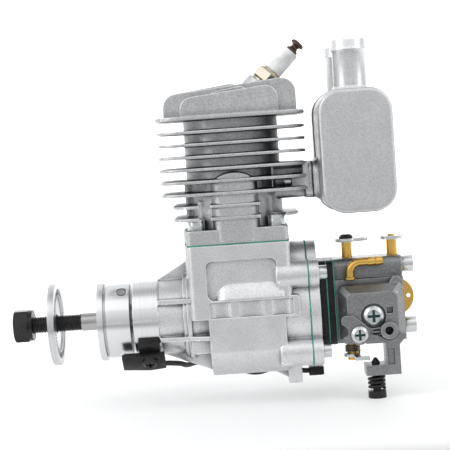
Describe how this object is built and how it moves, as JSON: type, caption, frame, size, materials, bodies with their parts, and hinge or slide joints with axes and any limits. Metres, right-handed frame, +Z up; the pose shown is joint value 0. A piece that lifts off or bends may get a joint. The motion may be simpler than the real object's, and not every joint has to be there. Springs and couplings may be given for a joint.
{
  "type": "model aircraft gasoline engine",
  "caption": "Small two-stroke petrol engine for a model aircraft, with finned cylinder, rear carburettor, side-outlet muffler, spark plug, ignition sensor and propeller drive.",
  "frame": {"origin": "on the crankshaft axis at the rear face of the backplate, in the middle of its square of four screws", "axes": "+X rearwards along the crankshaft towards the carburettor, the propeller end at -X; +Z up along the cylinder"},
  "size_m": [0.2021, 0.084, 0.179],
  "materials": {
    "cast_aluminium": "blasted casting",
    "machined_aluminium": "turned",
    "carb_casting": "dark casting",
    "cover_casting": "grey casting",
    "bright_steel": "ground",
    "zinc_steel": "zinc plated",
    "nickel": "nickel plated",
    "black_steel": "black oxide",
    "brass": "satin",
    "gasket_green": "fibre sheet",
    "black_plastic": "satin moulded",
    "rubber": "matt",
    "ceramic": "glazed"
  },
  "bodies": {
    "engine": {"crankcase": "cast_aluminium", "front_bearing": "bright_steel", "rear_bearing": "bright_steel", "oil_seal": "rubber", "backplate_gasket": "gasket_green", "backplate": "cast_aluminium", "backplate_screws": "zinc_steel", "base_gasket": "gasket_green", "cylinder_block": "cast_aluminium", "cylinder_bolts": "zinc_steel", "plug_shell": "nickel", "plug_insulator": "ceramic", "plug_terminal": "black_steel", "exhaust_gasket": "gasket_green", "muffler": "cast_aluminium", "muffler_pipes": "machined_aluminium", "muffler_bolts": "zinc_steel", "reed_block": "black_plastic", "reed_gasket": "gasket_green", "insulator": "black_plastic", "carb_gasket": "gasket_green", "carb_body": "carb_casting", "pump_cover": "cover_casting", "cover_screw": "zinc_steel", "idle_bracket": "cover_casting", "bracket_screw": "zinc_steel", "metering_cover": "cover_casting", "fuel_inlet": "brass", "carb_bolts": "zinc_steel", "throttle_spring": "black_steel", "idle_spring": "black_steel", "sensor_holder": "black_plastic", "sensor_bar": "black_plastic", "sensor_screw": "black_steel", "sensor_cable": "rubber", "sensor_connector": "black_plastic"},
    "crank": {"crankshaft": "bright_steel", "prop_hub": "machined_aluminium", "hub_magnet": "bright_steel"},
    "nut": {"prop_nut": "black_steel"},
    "washer": {"prop_washer": "machined_aluminium"},
    "piston": {"piston": "cast_aluminium", "piston_ring": "bright_steel", "wrist_pin": "bright_steel"},
    "rod": {"conrod": "cast_aluminium", "crankpin": "bright_steel"},
    "reed_upper": {"upper_reed": "black_plastic"},
    "reed_lower": {"lower_reed": "black_plastic"},
    "throttle": {"throttle_shaft": "brass", "throttle_arm": "zinc_steel", "throttle_arm_screw": "black_steel", "throttle_plate": "brass", "stop_lever": "zinc_steel"},
    "choke": {"choke_shaft": "brass", "choke_lever": "zinc_steel", "choke_plate": "brass"},
    "idle": {"idle_screw": "black_steel"},
    "needle": {"mixture_needle": "brass"}
  },
  "joints": [
    {"name": "crank_spin", "type": "hinge", "parent": "engine", "child": "crank", "pos_m": [-0.038, 0, 0], "axis": [1, 0, 0], "continuous": true},
    {"name": "nut_run", "type": "slide", "parent": "crank", "child": "nut", "axis": [1, 0, 0], "range_m": [0, 0.0245]},
    {"name": "washer_run", "type": "slide", "parent": "crank", "child": "washer", "axis": [1, 0, 0], "range_m": [0, 0.0147]},
    {"name": "piston_stroke", "type": "slide", "parent": "engine", "child": "piston", "axis": [0, 0, 1], "range_m": [-0.028, 0]},
    {"name": "rod_swing", "type": "hinge", "parent": "piston", "child": "rod", "pos_m": [-0.038, 0, 0.068], "axis": [1, 0, 0], "range_deg": [-15.03, 15.03]},
    {"name": "upper_reed_lift", "type": "hinge", "parent": "engine", "child": "reed_upper", "pos_m": [-0.0023, 0, 0.01235], "axis": [0, 1, 0], "range_deg": [0, 12], "stiffness_Nm_per_rad": 0.002},
    {"name": "lower_reed_lift", "type": "hinge", "parent": "engine", "child": "reed_lower", "pos_m": [-0.0023, 0, -0.00715], "axis": [0, -1, 0], "range_deg": [0, 12], "stiffness_Nm_per_rad": 0.002},
    {"name": "throttle_turn", "type": "hinge", "parent": "engine", "child": "throttle", "pos_m": [0.0159, 0, 0], "axis": [0, 0, -1], "range_deg": [0, 75], "stiffness_Nm_per_rad": 0.01, "springref_deg": -34.38},
    {"name": "choke_turn", "type": "hinge", "parent": "engine", "child": "choke", "pos_m": [0.0384, 0, 0], "axis": [0, 0, 1], "range_deg": [0, 80]},
    {"name": "idle_screw_turn", "type": "hinge", "parent": "engine", "child": "idle", "pos_m": [0.0253, -0.0176, -0.03], "axis": [0, 0, 1], "range_deg": [-360, 360]},
    {"name": "needle_turn", "type": "hinge", "parent": "engine", "child": "needle", "pos_m": [0.0323, -0.022, -0.011], "axis": [0, 1, 0], "range_deg": [-360, 360]}
  ],
  "couplings": [
    {"joint": "washer_run", "follows": "nut_run", "ratio": 0.6}
  ]
}
